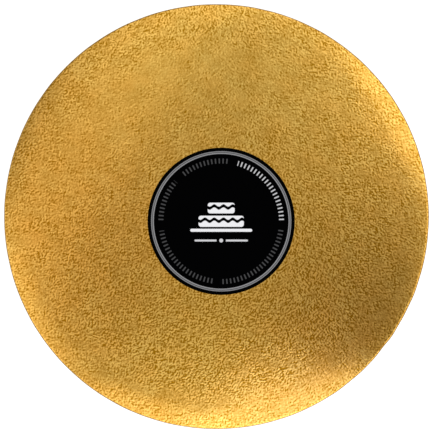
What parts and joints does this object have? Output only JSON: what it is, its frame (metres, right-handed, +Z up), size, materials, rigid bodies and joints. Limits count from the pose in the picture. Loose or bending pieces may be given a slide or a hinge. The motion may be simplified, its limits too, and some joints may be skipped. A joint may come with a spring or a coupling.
{
  "type": "cake board",
  "caption": "Thin round card cake board covered in grained gold foil that rolls over its rim, with a round black paper label stuck near its middle.",
  "frame": {"origin": "centre of the underside, on the surface that the board lies on", "axes": "+Z up through the board's thickness, out of its foil face; +X to the right and +Y away as the picture shows the face"},
  "size_m": [0.2, 0.2, 0.0032],
  "materials": {
    "gold_foil": "gold metallic foil paper with a fine wormy embossed grain, over card",
    "black_paper": "near-black printed label paper, matt, with a pale grey ring near its edge"
  },
  "bodies": {
    "root": {"board": "gold_foil", "label": "black_paper"}
  },
  "joints": []
}
